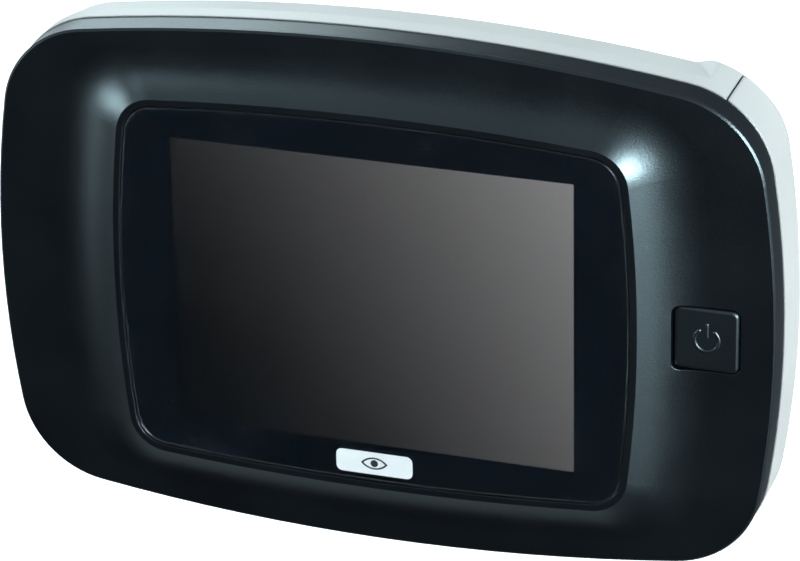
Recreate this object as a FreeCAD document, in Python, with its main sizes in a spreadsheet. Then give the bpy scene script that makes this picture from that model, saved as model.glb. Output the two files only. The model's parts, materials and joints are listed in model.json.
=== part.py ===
import FreeCAD, Part
import math
import os
import Sketcher

Vector = FreeCAD.Vector
Rotation = FreeCAD.Rotation

# Driving sizes in millimetres. A "level" is a distance in front of the door face, so
# it runs along -Y; X is to the viewer's right and Z is up.
SIZES = {
    # outline of the case, seen from the front: four long arcs joined by four corners
    "case_half_width": 63.2,
    "case_half_height": 42.68,
    "case_top_radius": 334.0,
    "case_side_radius": 169.0,
    "case_corner_radius": 15.6,
    # outline of the case at the door side, above the battery end
    "tail_half_width": 62.2,
    "tail_half_height": 40.1,
    "tail_top_radius": 334.0,
    "tail_side_radius": 169.0,
    "tail_corner_radius": 12.6,
    # outline of the display window
    "window_half_width": 41.2,
    "window_half_height": 30.5,
    "window_top_radius": 433.0,
    "window_side_radius": 208.0,
    "window_corner_radius": 5.0,
    # outline where the cove round the window runs out into the flat brim
    "foot_half_width": 53.5,
    "foot_half_height": 39.75,
    "foot_top_radius": 380.0,
    "foot_side_radius": 185.0,
    "foot_corner_radius": 12.0,
    # levels from the door forward
    "lip_level": 22.35,
    "foot_level": 19.12,
    "crease_level": 18.95,
    "groove_level": 18.0,
    "seam_level": 13.8,
    "waist_level": 10.4,
    # walls and edges
    "groove_depth": 0.1,
    "crease_bevel": 0.3,
    "lip_width": 1.3,
    "frame_wall": 1.8,
    "housing_wall": 1.7,
    "housing_step": 0.15,
    "back_wall": 2.0,
    "tail_fillet": 1.5,
    "end_fillet": 5.0,
    "brim_ceiling": 17.6,
    "web_back": 20.0,
    "web_front": 21.3,
    # display
    "window_front": 22.4,
    "window_thickness": 0.95,
    "window_gap": 0.25,
    "opening_width": 69.8,
    "opening_height": 52.4,
    "opening_corner": 1.5,
    "glass_width": 69.0,
    "glass_height": 51.6,
    "glass_front": 21.15,
    "can_width": 78.8,
    "can_height": 55.0,
    "can_front": 19.5,
    "can_back": 17.7,
    "can_shift": -3.3,
    # boards
    "board_front": 16.4,
    "board_thickness": 1.2,
    "board_left": -46.0,
    "board_right": 44.5,
    "board_half_height": 32.2,
    "board_corner": 4.0,
    "board_screw_x": 38.0,
    "board_screw_z": 30.2,
    # power button
    "button_x": 52.5,
    "button_hole_width": 10.6,
    "button_hole_height": 10.8,
    "button_corner": 1.3,
    "button_gap": 0.22,
    "button_face": 19.45,
    "switch_board_front": 15.7,
    "switch_board_thickness": 0.8,
    "switch_screw_z": 10.5,
    # case screws
    "left_screw_x": -53.0,
    "left_screw_z": 22.0,
    "right_screw_x": 46.5,
    "right_screw_z": 34.0,
    "screw_radius": 1.0,
    "small_screw_radius": 0.7,
    "jumper_level": 14.85,
    "screw_slack": 0.05,
    # battery end
    "seam_x": 53.6,
    "seam_gap": 0.28,
    "end_left": 45.5,
    "shoulder_height": 37.0,
    "shoulder_slope": 0.35,
    "shoulder_length": 30.0,
    "bay_left": 21.6,
    "bay_right": 54.6,
    "bay_half_height": 23.6,
    "bay_floor": 12.7,
    "floor_thickness": 1.2,
    "cell_radius": 5.25,
    "cell_length": 44.5,
    "cell_pitch": 10.9,
    "cell_level": 7.3,
    "spring_radius": 3.2,
    "spring_wire": 0.5,
    "door_half_height": 25.0,
    "door_thickness": 1.5,
    # door plate and the recess it lies in
    "plate_half_width": 19.0,
    "plate_half_height": 30.0,
    "plate_thickness": 1.2,
    "plate_corner": 4.0,
    "barrel_radius": 7.25,
    "lift": 5.0,
    "recess_depth": 1.5,
    "recess_wall": 1.7,
    "well_radius": 13.0,
    "well_floor": 10.6,
    "hook_x": 13.0,
    "hook_width": 6.0,
    "hook_thickness": 1.2,
    "hook_length": 4.4,
    "hook_gap": 0.15,
    "hook_slack": 0.4,
    "hook_seat_gap": 0.05,
    "slot_depth": 5.0,
    "slot_room": 1.5,
    "stem_root": 0.1,
    "upper_hook_z": 20.0,
    "lower_hook_z": -22.0,
    "plate_screw_inset": 4.5,
    "plate_screw_radius": 1.6,
    "plate_gap": 0.3,
    "plate_drop_gap": 0.4,
    # how far cutting shapes run past what they cut, and how far joined solids sink in
    "cut_over": 1.0,
    "cut_reach": 80.0,
    "boss_root": 0.2,
    "back_root": 0.4,
    # gaps between neighbours that rest on each other
    "touch_gap": 0.01,
    "solder_gap": 0.02,
    # screw bosses of the frame
    "dome_inset": 2.4,
    "boss_gap": 0.2,
    "case_boss_wall": 2.0,
    "case_hole_depth": 4.2,
    "board_boss_wall": 1.2,
    "board_hole_depth": 4.0,
    "switch_boss_wall": 1.0,
    "switch_hole_depth": 2.4,
    # what lies round the screen
    "window_edge": 0.12,
    "tape_inset": 0.7,
    "tape_margin": 0.6,
    "gasket_width_margin": 1.2,
    "gasket_height_margin": 0.4,
    "gasket_corner": 3.0,
    "glass_corner": 0.5,
    "can_corner": 1.0,
    "ribbon_reach": 1.0,
    "ribbon_level": 17.85,
    "ribbon_bend": 0.9,
    "ribbon_thickness": 0.15,
    "ribbon_half_width": 9.0,
    "ribbon_landing": 5.0,
    # parts on the boards
    "board_hole_slack": 0.15,
    "capacitor_radius": 2.0,
    "capacitor_height": 4.5,
    "ribbon_socket_gap": 0.1,
    "ribbon_socket_width": 3.9,
    "ribbon_socket_height": 1.1,
    "ribbon_socket_half": 10.0,
    "socket_half_width": 6.0,
    "socket_half_height": 2.8,
    "socket_rise": 0.4,
    "socket_wall": 1.0,
    "socket_mouth_depth": 3.0,
    "socket_clear": 0.4,
    "switch_board_width": 11.0,
    "switch_board_height": 26.0,
    "switch_board_corner": 1.5,
    "switch_hole_slack": 0.1,
    "switch_half": 2.6,
    "switch_height": 0.8,
    "switch_floor": 0.2,
    "plunger_radius": 1.0,
    "plunger_slack": 0.04,
    "plunger_low": 0.48,
    "plunger_high": 1.08,
    "jumper_overlap": 1.5,
    "jumper_stop": 4.2,
    "jumper_thickness": 0.3,
    "jumper_half_width": 0.35,
    "jumper_pitch": 2.0,
    "jumper_drop": 6.0,
    # underside of the button cap
    "flange_drop": 0.6,
    "flange_width": 0.7,
    "flange_thickness": 0.5,
    "cap_edge": 0.45,
    "pip_level": 1.1,
    "pip_radius": 1.3,
    "pip_length": 0.4,
    # inside of the rear housing
    "recess_rim": 2.0,
    "recess_end": 1.6,
    "recess_back": 0.5,
    "well_wall": 1.4,
    "bay_wall": 1.3,
    "bay_side": 4.0,
    "bay_joint": 0.5,
    "bay_end_gap": 0.3,
    "sole_inset": 2.2,
    "post_wall": 2.3,
    "post_low": 1.0,
    "post_rise": 0.1,
    "screw_hole_slack": 0.2,
    "screw_well_wall": 1.3,
    "screw_well_depth": 8.0,
    # battery door, its tongues and grips
    "door_gap": 0.2,
    "door_side_gap": 0.15,
    "door_run_out": 5.0,
    "door_root": 1.0,
    "tongue_level": 0.7,
    "tongue_width": 1.0,
    "tongue_root": 0.6,
    "cover_gap": 0.1,
    "grip_start": 4.6,
    "grip_pitch": 1.6,
    "grip_width": 0.8,
    "grip_depth": 0.4,
    "grip_half_height": 8.0,
    # cells, contacts and springs
    "cell_side_gap": 0.35,
    "contact_room": 0.45,
    "stud_height": 0.9,
    "stud_radius": 1.9,
    "contact_inset": 0.2,
    "contact_half_thickness": 0.18,
    "contact_half_width": 4.0,
    "contact_gap": 0.1,
    "spring_base": 0.42,
    "spring_room": 2.2,
    # screws
    "case_head_level": 6.35,
    "case_head_wall": 1.1,
    "case_head_depth": 1.6,
    "case_shank": 9.3,
    "board_head_radius": 1.5,
    "board_head_depth": 1.0,
    "board_shank": 4.6,
    "switch_head_radius": 1.4,
    "switch_head_depth": 0.7,
    "switch_shank": 2.8,
    "head_overlap": 0.1,
    "cross_half_width": 0.22,
    "cross_half_length": 1.1,
    "cross_share": 0.5,
}

# flat packages on the main board: centre x, centre z, width, height and thickness
PACKAGES = {
    "processor": (-27, 6, 14, 14, 1.1),
    "flash": (-26, -10, 8, 6, 1.0),
    "ram": (-38, 6, 4.5, 11, 1.0),
    "coil_0": (-24, -26, 5, 5, 2.4),
    "coil_1": (-16, -26, 5, 5, 2.4),
}
CAPACITORS = [(-40, -14), (-34, -21), (-40, 22)]
CELL_COUNT = 3
JUMPER_COUNT = 3
GRIP_COUNT = 5
COVE_STEPS = 5

doc = FreeCAD.newDocument("door_viewer_monitor")
sheet = doc.addObject("Spreadsheet::Sheet", "Sizes")
for row, (alias, value) in enumerate(SIZES.items(), start=1):
    sheet.set(f"A{row}", alias.replace("_", " "))
    sheet.set(f"B{row}", str(value))
    sheet.setAlias(f"B{row}", alias)
doc.recompute()


def named(text):
    """Turn words that are sheet aliases into references to the sheet."""
    words = []
    for word in str(text).replace("(", " ( ").replace(")", " ) ").split():
        words.append("Sizes." + word if word in SIZES else word)
    return " ".join(words)


def number(text):
    """Value of an expression, for placing geometry before it is constrained."""
    return float(sheet.evalExpression(named(text)))


def bind(thing, **expressions):
    """Bind properties: Length="...", x="..." for the placement's base."""
    for key, text in expressions.items():
        path = f"Placement.Base.{key}" if key in ("x", "y", "z") else key
        thing.setExpression(path, named(text))
    return thing


# ---------------------------------------------------------------- sketches

def new_body(name):
    body = doc.addObject("PartDesign::Body", name)
    body.Label = name
    return body


def new_sketch(body, name, level):
    """Sketch facing the room, at a level in front of the door face."""
    sketch = body.newObject("Sketcher::SketchObject", name)
    plane = [item for item in body.Origin.OriginFeatures if item.Role == "XZ_Plane"][0]
    sketch.AttachmentSupport = [(plane, "")]
    sketch.MapMode = "FlatFace"
    sketch.setExpression("AttachmentOffset.Base.z", named(level))
    return sketch


def hold(sketch, kind, places, text, name):
    """Add a dimension constraint and bind it to the sheet."""
    index = sketch.addConstraint(Sketcher.Constraint(kind, *places, number(text)))
    sketch.renameConstraint(index, name)
    sketch.setExpression("Constraints." + name, named(text))


def hold_point(sketch, geometry, point, x, z, name):
    """Fix a point at x, z from the sketch's origin."""
    for kind, axis, text in (("DistanceX", -2, x), ("DistanceY", -1, z)):
        value = number(text)
        if abs(value) < 1e-9:
            sketch.addConstraint(Sketcher.Constraint("PointOnObject", geometry, point, axis))
        elif value > 0:
            hold(sketch, kind, (-1, 1, geometry, point), text, f"{name}_{kind}")
        else:
            hold(sketch, kind, (geometry, point, -1, 1), f"0 - ( {text} )", f"{name}_{kind}")


def family(prefix, grow="0"):
    """The five sizes of an outline, moved outward by grow."""
    keys = ("half_width", "half_height", "top_radius", "side_radius", "corner_radius")
    return [f"{prefix}_{key} + ( {grow} )" for key in keys]


def between(first, last, share):
    """An outline part of the way from one outline to another."""
    return [f"( {a} ) * {1 - share:.4f} + ( {b} ) * {share:.4f}" for a, b in zip(first, last)]


def corner_centre(half_width, half_height, top, side, corner):
    """Centre of the corner arc that is tangent to the top arc and the side arc."""
    low = Vector(0, half_height - top, 0)
    left = Vector(half_width - side, 0, 0)
    reach_low = top - corner
    reach_left = side - corner
    span = left.sub(low)
    along = (reach_low ** 2 - reach_left ** 2 + span.Length ** 2) / (2 * span.Length)
    across = math.sqrt(reach_low ** 2 - along ** 2)
    span.normalize()
    normal = Vector(-span.y, span.x, 0)
    ends = [low + span * along + normal * (across * side_sign) for side_sign in (1, -1)]
    return max(ends, key=lambda end: min(end.x, end.y))


def outline_sketch(body, name, level, outline):
    """Closed outline of eight tangent arcs, counter-clockwise from the right side."""
    sketch = new_sketch(body, name, level)
    half_width, half_height, top, side, corner = [number(text) for text in outline]
    centre = corner_centre(half_width, half_height, top, side, corner)
    side_turn = math.atan2(centre.y, centre.x - (half_width - side))
    top_turn = math.atan2(centre.y - (half_height - top), centre.x)
    right = math.pi
    arcs = [
        (half_width - side, 0, side, -side_turn, side_turn),
        (centre.x, centre.y, corner, side_turn, top_turn),
        (0, half_height - top, top, top_turn, right - top_turn),
        (-centre.x, centre.y, corner, right - top_turn, right - side_turn),
        (side - half_width, 0, side, right - side_turn, right + side_turn),
        (-centre.x, -centre.y, corner, right + side_turn, right + top_turn),
        (0, top - half_height, top, right + top_turn, 2 * right - top_turn),
        (centre.x, -centre.y, corner, 2 * right - top_turn, 2 * right - side_turn),
    ]
    for x, z, radius, start, end in arcs:
        circle = Part.Circle(Vector(x, z, 0), Vector(0, 0, 1), radius)
        sketch.addGeometry(Part.ArcOfCircle(circle, start, end), False)
    for index in range(8):
        following = (index + 1) % 8
        sketch.addConstraint(Sketcher.Constraint("Tangent", index, 2, following, 1))
    width_text, height_text, top_text, side_text, corner_text = outline
    radii = {0: side_text, 4: side_text, 2: top_text, 6: top_text,
             1: corner_text, 3: corner_text, 5: corner_text, 7: corner_text}
    for index, text in radii.items():
        hold(sketch, "Radius", (index,), text, f"radius_{index}")
    for index, axis in ((0, -1), (4, -1), (2, -2), (6, -2)):
        sketch.addConstraint(Sketcher.Constraint("PointOnObject", index, 3, axis))
    sideways = f"( {side_text} ) - ( {width_text} )"
    upright = f"( {top_text} ) - ( {height_text} )"
    hold(sketch, "DistanceX", (0, 3, -1, 1), sideways, "right_centre")
    hold(sketch, "DistanceX", (-1, 1, 4, 3), sideways, "left_centre")
    hold(sketch, "DistanceY", (2, 3, -1, 1), upright, "top_centre")
    hold(sketch, "DistanceY", (-1, 1, 6, 3), upright, "bottom_centre")
    return sketch


def add_rounded_rect(sketch, x, z, width, height, corner, name):
    """Rectangle with four equal round corners, centred at x, z."""
    left, right = number(f"( {x} ) - ( {width} ) / 2"), number(f"( {x} ) + ( {width} ) / 2")
    low, high = number(f"( {z} ) - ( {height} ) / 2"), number(f"( {z} ) + ( {height} ) / 2")
    radius = number(corner)
    first = sketch.GeometryCount
    lines = [((left + radius, low), (right - radius, low)), ((right, low + radius), (right, high - radius)),
             ((right - radius, high), (left + radius, high)), ((left, high - radius), (left, low + radius))]
    corners = [(right - radius, low + radius, 3), (right - radius, high - radius, 0),
               (left + radius, high - radius, 1), (left + radius, low + radius, 2)]
    for (start, end), (centre_x, centre_z, quarter) in zip(lines, corners):
        sketch.addGeometry(Part.LineSegment(Vector(*start, 0), Vector(*end, 0)), False)
        circle = Part.Circle(Vector(centre_x, centre_z, 0), Vector(0, 0, 1), radius)
        turn = quarter * math.pi / 2
        sketch.addGeometry(Part.ArcOfCircle(circle, turn, turn + math.pi / 2), False)
    for index in range(8):
        following = first + (index + 1) % 8
        sketch.addConstraint(Sketcher.Constraint("Tangent", first + index, 2, following, 1))
    for index, kind in ((0, "Horizontal"), (2, "Vertical"), (4, "Horizontal"), (6, "Vertical")):
        sketch.addConstraint(Sketcher.Constraint(kind, first + index))
    for index in (1, 3, 5, 7):
        hold(sketch, "Radius", (first + index,), corner, f"{name}_radius_{index}")
    inner_x = f"( {width} ) / 2 - ( {corner} )"
    inner_z = f"( {height} ) / 2 - ( {corner} )"
    hold_point(sketch, first + 3, 3, f"( {x} ) + {inner_x}", f"( {z} ) + {inner_z}", name + "_high")
    hold_point(sketch, first + 7, 3, f"( {x} ) - ( {inner_x} )", f"( {z} ) - ( {inner_z} )", name + "_low")


def add_circle(sketch, x, z, radius, name):
    circle = Part.Circle(Vector(number(x), number(z), 0), Vector(0, 0, 1), number(radius))
    index = sketch.addGeometry(circle, False)
    hold(sketch, "Radius", (index,), radius, name + "_radius")
    hold_point(sketch, index, 3, x, z, name)


# ---------------------------------------------------------------- features

def pad(body, sketch, length):
    """Add material from the sketch toward the room."""
    feature = body.newObject("PartDesign::Pad", sketch.Name + "_pad")
    feature.Profile = sketch
    feature.setExpression("Length", named(length))
    doc.recompute()
    return feature


def pocket(body, sketch, length, forward=False):
    """Cut from the sketch toward the door, or toward the room when forward."""
    before = body.Shape.Volume
    feature = body.newObject("PartDesign::Pocket", sketch.Name + "_cut")
    feature.Profile = sketch
    feature.Reversed = forward
    feature.setExpression("Length", named(length))
    doc.recompute()
    if not body.Shape.Volume < before - 1e-3:
        raise RuntimeError(sketch.Name + " cuts nothing")
    return feature


def loft(body, sketches, kind="PartDesign::AdditiveLoft", ruled=False):
    feature = body.newObject(kind, sketches[0].Name + "_loft")
    feature.Profile = sketches[0]
    feature.Sections = sketches[1:]
    feature.Ruled = ruled
    doc.recompute()
    return feature


def edges_where(shape, test):
    return [f"Edge{index}" for index, edge in enumerate(shape.Edges, start=1) if test(edge)]


def at_level(level):
    """Test for an edge that lies in the plane at a level."""
    return lambda edge: all(abs(vertex.Point.y + level) < 1e-4 for vertex in edge.Vertexes)


def round_edges(body, test, radius):
    base = body.Tip
    feature = body.newObject("PartDesign::Fillet", base.Name + "_round")
    feature.Base = (base, edges_where(base.Shape, test))
    feature.setExpression("Radius", named(radius))
    doc.recompute()
    return feature


# ---------------------------------------------------------------- primitives

def finish(thing, label):
    thing.Label = label
    doc.recompute()
    return thing


def box(name, low, high):
    """Box between two corners; a corner is (x, level, z)."""
    item = doc.addObject("Part::Box", name)
    (x0, near, z0), (x1, far, z1) = low, high
    return bind(item, Length=f"( {x1} ) - ( {x0} )", Width=f"( {far} ) - ( {near} )",
                Height=f"( {z1} ) - ( {z0} )", x=x0, y=f"0 - ( {far} )", z=z0)


def rod(name, radius, x, z, near, far):
    """Cylinder that points at the room, from one level to another."""
    item = doc.addObject("Part::Cylinder", name)
    item.Placement = FreeCAD.Placement(Vector(0, 0, 0), Rotation(Vector(1, 0, 0), 90))
    return bind(item, Radius=radius, Height=f"( {far} ) - ( {near} )", x=x, y=f"0 - ( {near} )", z=z)


def upright(name, radius, x, level, low, high):
    """Cylinder along Z at x and a level, from one height to another."""
    item = doc.addObject("Part::Cylinder", name)
    return bind(item, Radius=radius, Height=f"( {high} ) - ( {low} )", x=x, y=f"0 - ( {level} )", z=low)


def fuse(name, items):
    item = doc.addObject("Part::MultiFuse", name)
    item.Shapes = items
    item.Refine = True
    doc.recompute()
    return item


def cut(name, base, tool):
    item = doc.addObject("Part::Cut", name)
    item.Base = base
    item.Tool = tool
    item.Refine = True
    doc.recompute()
    return item


def common(name, base, tool):
    item = doc.addObject("Part::Common", name)
    item.Base = base
    item.Tool = tool
    item.Refine = True
    doc.recompute()
    return item


def group(name, items):
    """Separate solids kept in one node."""
    item = doc.addObject("Part::Compound", name)
    item.Links = items
    doc.recompute()
    return item


def rounded_plate(name, x, z, width, height, corner, near, far):
    """Plate with round corners facing the room."""
    body = new_body(name)
    sketch = new_sketch(body, name + "_shape", near)
    add_rounded_rect(sketch, x, z, width, height, corner, "shape")
    pad(body, sketch, f"( {far} ) - ( {near} )")
    return body


def outline_plate(name, outline, near, far):
    body = new_body(name)
    pad(body, outline_sketch(body, name + "_shape", near, outline), f"( {far} ) - ( {near} )")
    return body


# ---------------------------------------------------------------- front frame

case_screws = [("left_screw_x", "left_screw_z"), ("left_screw_x", "0 - left_screw_z"),
               ("right_screw_x", "right_screw_z"), ("right_screw_x", "0 - right_screw_z")]
board_screws = [(x, z) for x in ("board_screw_x", "0 - board_screw_x")
                for z in ("board_screw_z", "0 - board_screw_z")]
switch_screws = [("button_x", "switch_screw_z"), ("button_x", "0 - switch_screw_z")]


def cove_level(share):
    """Hollow curve that is steep at the lip and flat at its foot."""
    return f"foot_level + ( lip_level - foot_level ) * {(1 - share) ** 2:.4f}"


def add_bosses(body, name, places, radius, hole, near, far, depth):
    """Screw bosses hanging from the inside of the frame, with blind pilot holes."""
    posts = new_sketch(body, name + "_posts", near)
    for index, (x, z) in enumerate(places):
        add_circle(posts, x, z, radius, f"post_{index}")
    pad(body, posts, f"( {far} ) - ( {near} )")
    holes = new_sketch(body, name + "_holes", near)
    for index, (x, z) in enumerate(places):
        add_circle(holes, x, z, hole, f"hole_{index}")
    pocket(body, holes, depth, forward=True)


def front_frame():
    body = new_body("front_frame")
    sides = [("seam_level", "0"), ("groove_level", "0 - groove_depth"),
             ("groove_level + crease_bevel", "0"), ("crease_level - crease_bevel", "0"),
             ("crease_level", "0 - crease_bevel")]
    loft(body, [outline_sketch(body, f"side_{index}", level, family("case", grow))
                for index, (level, grow) in enumerate(sides)], ruled=True)
    loft(body, [outline_sketch(body, "brim_0", "crease_level", family("case", "0 - crease_bevel")),
                outline_sketch(body, "brim_1", "foot_level", family("foot"))], ruled=True)
    rings = []
    for index in range(COVE_STEPS + 1):
        share = 1 - index / COVE_STEPS
        ring = between(family("window", "lip_width"), family("foot"), share)
        rings.append(outline_sketch(body, f"cove_{index}", cove_level(share), ring))
    loft(body, rings)
    # the room behind the brim, then the room behind the cove
    inner = family("case", "0 - frame_wall")
    pocket(body, outline_sketch(body, "room", "seam_level", inner), "brim_ceiling - seam_level", forward=True)
    loft(body, [outline_sketch(body, "dome_0", "brim_ceiling", family("foot", "0 - dome_inset")),
                outline_sketch(body, "dome_1", "web_back", family("window", "lip_width * 2"))],
         "PartDesign::SubtractiveLoft", ruled=True)
    pocket(body, outline_sketch(body, "seat", "lip_level", family("window", "window_gap")),
           "lip_level - web_front")
    opening = new_sketch(body, "opening", "web_front")
    add_rounded_rect(opening, "0", "0", "opening_width", "opening_height", "opening_corner", "opening")
    pocket(body, opening, "web_front - web_back + cut_over")
    hole = new_sketch(body, "button_hole", "lip_level")
    add_rounded_rect(hole, "button_x", "0", "button_hole_width", "button_hole_height", "button_corner", "hole")
    pocket(body, hole, "lip_level - brim_ceiling + cut_over")
    add_bosses(body, "case", case_screws, "screw_radius + case_boss_wall", "screw_radius + screw_slack",
               "seam_level + boss_gap", "brim_ceiling + boss_root", "case_hole_depth")
    pilot = "small_screw_radius + screw_slack"
    add_bosses(body, "board", board_screws, "small_screw_radius + board_boss_wall", pilot,
               "board_front", "web_back + boss_root", "board_hole_depth")
    add_bosses(body, "switch", switch_screws, "small_screw_radius + switch_boss_wall", pilot,
               "switch_board_front", "brim_ceiling + boss_root", "switch_hole_depth")
    return body


# ---------------------------------------------------------------- display

def display_window():
    body = outline_plate("display_window", family("window"), "window_front - window_thickness", "window_front")
    round_edges(body, at_level(SIZES["window_front"]), "window_edge")
    return body


def window_tape():
    body = outline_plate("window_tape", family("window", "0 - tape_inset"), "web_front + touch_gap",
                         "window_front - window_thickness - touch_gap")
    inside = new_sketch(body, "tape_inside", "web_front + cut_over")
    add_rounded_rect(inside, "0", "0", "opening_width + tape_margin", "opening_height + tape_margin",
                     "opening_corner", "tape")
    pocket(body, inside, "cut_over * 2")
    return body


def lcd_gasket():
    body = rounded_plate("lcd_gasket", "can_shift", "0", "can_width - gasket_width_margin",
                         "can_height - gasket_height_margin", "gasket_corner",
                         "can_front + touch_gap", "web_back - touch_gap")
    inside = new_sketch(body, "gasket_inside", "web_back + cut_over")
    add_rounded_rect(inside, "0", "0", "opening_width", "opening_height", "opening_corner", "gasket")
    pocket(body, inside, "web_back - can_front + cut_over * 2")
    return body


def lcd_ribbon():
    """Flat flex that leaves the side of the can and folds back onto the board."""
    side = "can_shift - can_width / 2"
    turn = f"{side} - ribbon_reach"
    low, high = "0 - ribbon_half_width", "ribbon_half_width"
    inner = "ribbon_bend - ribbon_thickness"
    bend = upright("ribbon_round", "ribbon_bend", turn, "ribbon_level", low, high)
    hollow = upright("ribbon_hollow", inner, turn, "ribbon_level", low, high)
    half = box("ribbon_half", (f"{turn} - ribbon_bend * 2", "ribbon_level - ribbon_bend * 2", low),
               (turn, "ribbon_level + ribbon_bend * 2", high))
    fold = cut("ribbon_fold", common("ribbon_half_bend", bend, half), hollow)
    upper = box("ribbon_upper", (turn, f"ribbon_level + ( {inner} )", low),
                (side, "ribbon_level + ribbon_bend", high))
    lower = box("ribbon_lower", (turn, "ribbon_level - ribbon_bend", low),
                (f"{side} + ribbon_landing", f"ribbon_level - ( {inner} )", high))
    return fuse("lcd_ribbon", [fold, upper, lower])


def display():
    parts = [display_window(), window_tape(), lcd_gasket(), lcd_ribbon()]
    parts.append(rounded_plate("lcd_panel", "0", "0", "glass_width", "glass_height", "glass_corner",
                               "can_front + touch_gap", "glass_front"))
    parts.append(rounded_plate("lcd_backlight", "can_shift", "0", "can_width", "can_height", "can_corner",
                               "can_back", "can_front"))
    return parts


# ---------------------------------------------------------------- boards

def main_board():
    back = "board_front - board_thickness"
    body = new_body("main_board")
    shape = new_sketch(body, "board_shape", back)
    add_rounded_rect(shape, "( board_left + board_right ) / 2", "0", "board_right - board_left",
                     "board_half_height * 2", "board_corner", "board")
    pad(body, shape, "board_thickness")
    holes = new_sketch(body, "board_holes", "board_front")
    for index, (x, z) in enumerate(board_screws):
        add_circle(holes, x, z, "small_screw_radius + board_hole_slack", f"hole_{index}")
    pocket(body, holes, "board_thickness + cut_over")
    return body


def package(name):
    """Flat package on the door side of the main board."""
    x, z, width, height, thickness = PACKAGES[name]
    back = "board_front - board_thickness - solder_gap"
    return box(name, (f"{x} - {width} / 2", f"{back} - {thickness}", f"{z} - {height} / 2"),
               (f"{x} + {width} / 2", back, f"{z} + {height} / 2"))


def boards():
    back = "board_front - board_thickness - solder_gap"
    parts = [main_board()]
    parts.append(finish(package("processor"), "processor_chip"))
    parts.append(finish(group("memories", [package("flash"), package("ram")]), "memory_chips"))
    cans = [rod(f"capacitor_{index}", "capacitor_radius", x, z, f"{back} - capacitor_height", back)
            for index, (x, z) in enumerate(CAPACITORS)]
    parts.append(finish(group("capacitor_set", cans), "capacitors"))
    parts.append(finish(group("coil_set", [package("coil_0"), package("coil_1")]), "power_coils"))
    left = "can_shift - can_width / 2 + ribbon_landing + ribbon_socket_gap"
    connector = box("ribbon_connector", (left, "board_front + solder_gap", "0 - ribbon_socket_half"),
                    (f"{left} + ribbon_socket_width", "board_front + ribbon_socket_height", "ribbon_socket_half"))
    parts.append(finish(connector, "ribbon_socket"))
    shell = box("socket_shell", ("0 - socket_half_width", "well_floor + socket_rise", "0 - socket_half_height"),
                ("socket_half_width", back, "socket_half_height"))
    mouth = box("socket_mouth",
                ("socket_wall - socket_half_width", "well_floor - cut_over", "socket_wall - socket_half_height"),
                ("socket_half_width - socket_wall", "well_floor + socket_rise + socket_mouth_depth",
                 "socket_half_height - socket_wall"))
    parts.append(finish(cut("socket", shell, mouth), "camera_socket"))
    return parts


def switch_parts():
    near = "switch_board_front - switch_board_thickness"
    body = rounded_plate("button_board", "button_x", "0", "switch_board_width", "switch_board_height",
                         "switch_board_corner", near, "switch_board_front")
    holes = new_sketch(body, "switch_board_holes", "switch_board_front")
    for index, (x, z) in enumerate(switch_screws):
        add_circle(holes, x, z, "small_screw_radius + switch_hole_slack", f"hole_{index}")
    pocket(body, holes, "switch_board_thickness + cut_over")
    parts = [body]
    shell = box("switch_shell", ("button_x - switch_half", "switch_board_front + touch_gap", "0 - switch_half"),
                ("button_x + switch_half", "switch_board_front + touch_gap + switch_height", "switch_half"))
    well = rod("switch_well", "plunger_radius + plunger_slack", "button_x", "0",
               "switch_board_front + switch_floor", "switch_board_front + switch_height + cut_over")
    parts.append(finish(cut("switch", shell, well), "switch_body"))
    parts.append(finish(rod("plunger", "plunger_radius", "button_x", "0", "switch_board_front + plunger_low",
                            "switch_board_front + plunger_high"), "switch_plunger"))
    leads = []
    for index in range(JUMPER_COUNT):
        z = f"{index - 1} * jumper_pitch - jumper_drop"
        leads.append(box(f"jumper_{index}",
                         ("board_right - jumper_overlap", "jumper_level - jumper_thickness",
                          f"{z} - jumper_half_width"),
                         ("button_x - jumper_stop", "jumper_level", f"{z} + jumper_half_width")))
    parts.append(finish(group("jumpers", leads), "button_leads"))
    return parts


def power_button():
    body = new_body("power_button")
    width = "button_hole_width - button_gap * 2"
    height = "button_hole_height - button_gap * 2"
    cap = new_sketch(body, "cap_shape", "brim_ceiling - flange_drop")
    add_rounded_rect(cap, "button_x", "0", width, height, "button_corner - button_gap", "cap")
    pad(body, cap, "button_face - brim_ceiling + flange_drop")
    round_edges(body, at_level(SIZES["button_face"]), "cap_edge")
    flange = new_sketch(body, "flange_shape", "brim_ceiling - flange_drop")
    add_rounded_rect(flange, "button_x", "0", f"{width} + flange_width * 2", f"{height} + flange_width * 2",
                     "button_corner", "flange")
    pad(body, flange, "flange_thickness")
    pip = new_sketch(body, "pip_shape", "switch_board_front + pip_level")
    add_circle(pip, "button_x", "0", "pip_radius", "pip")
    pad(body, pip, "pip_length")
    return body


# ---------------------------------------------------------------- rear housing

def block(name, grow, near, tail_round, end_round):
    """The silver block: a band, a tapered tail and a full-size end for the batteries."""
    taper = new_body(name + "_taper")
    waist = family("case", grow)
    tail = family("tail", grow)
    pad(taper, outline_sketch(taper, name + "_band", "waist_level", waist), "seam_level - waist_level")
    loft(taper, [outline_sketch(taper, name + "_waist", "waist_level", waist),
                 outline_sketch(taper, name + "_tail", near, tail)], ruled=True)
    if tail_round:
        round_edges(taper, at_level(number(near)), tail_round)
    full = outline_plate(name + "_full", waist, near, "seam_level")
    round_edges(full, at_level(number(near)), end_round)
    end = common(name + "_end", full, shoulder_slab(name + "_slab", grow))
    return fuse(name, [taper, end])


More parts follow.
